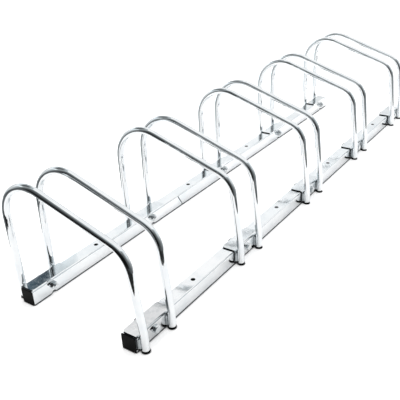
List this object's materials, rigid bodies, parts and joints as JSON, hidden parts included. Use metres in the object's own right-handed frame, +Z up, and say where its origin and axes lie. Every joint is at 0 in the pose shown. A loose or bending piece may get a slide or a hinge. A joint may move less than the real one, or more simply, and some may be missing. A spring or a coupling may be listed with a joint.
{
  "type": "floor bike rack",
  "caption": "Free-standing floor rack for bicycles: pairs of bent tube hoops hold the wheels, bolted over two square rails with plastic end plugs and foot caps.",
  "frame": {"origin": "on the floor, under the middle of the rack", "axes": "+X along the rails, +Y towards the rear rail with the upright hoop legs, +Z up"},
  "size_m": [1.297, 0.3062, 0.2501],
  "materials": {
    "zinc_tube": "bright zinc plating on drawn steel tube, close to a mirror",
    "zinc_rail": "bright zinc plating on square steel tube",
    "zinc_plate": "zinc-plated bent steel sheet, faintly mottled",
    "zinc_weld": "weld beads under the zinc plating, rippled",
    "zinc_fastener": "zinc-plated fasteners, satin",
    "black_plastic": "black polyethylene, semi-gloss"
  },
  "bodies": {
    "root": {"rail_rear_long": "zinc_rail", "rail_rear_short": "zinc_rail", "rail_front_long": "zinc_rail", "rail_front_short": "zinc_rail", "sleeve_rear": "zinc_rail", "sleeve_front": "zinc_rail", "plug_rear_left": "black_plastic", "plug_rear_right": "black_plastic", "plug_front_left": "black_plastic", "plug_front_right": "black_plastic", "saddle_rear_1": "zinc_plate", "saddle_front_1": "zinc_plate", "saddle_rear_2": "zinc_plate", "saddle_front_2": "zinc_plate", "saddle_rear_3": "zinc_plate", "saddle_front_3": "zinc_plate", "saddle_rear_4": "zinc_plate", "saddle_front_4": "zinc_plate", "saddle_rear_5": "zinc_plate", "saddle_front_5": "zinc_plate", "hoop_1a": "zinc_tube", "hoop_1b": "zinc_tube", "hoop_2a": "zinc_tube", "hoop_2b": "zinc_tube", "hoop_3a": "zinc_tube", "hoop_3b": "zinc_tube", "hoop_4a": "zinc_tube", "hoop_4b": "zinc_tube", "hoop_5a": "zinc_tube", "hoop_5b": "zinc_tube", "welds_rear": "zinc_weld", "welds_front": "zinc_weld", "foot_caps_rear": "black_plastic", "foot_caps_front": "black_plastic", "bolts": "zinc_fastener", "washers_outer": "zinc_fastener", "washers_inner": "zinc_fastener", "nuts": "zinc_fastener"}
  },
  "joints": []
}
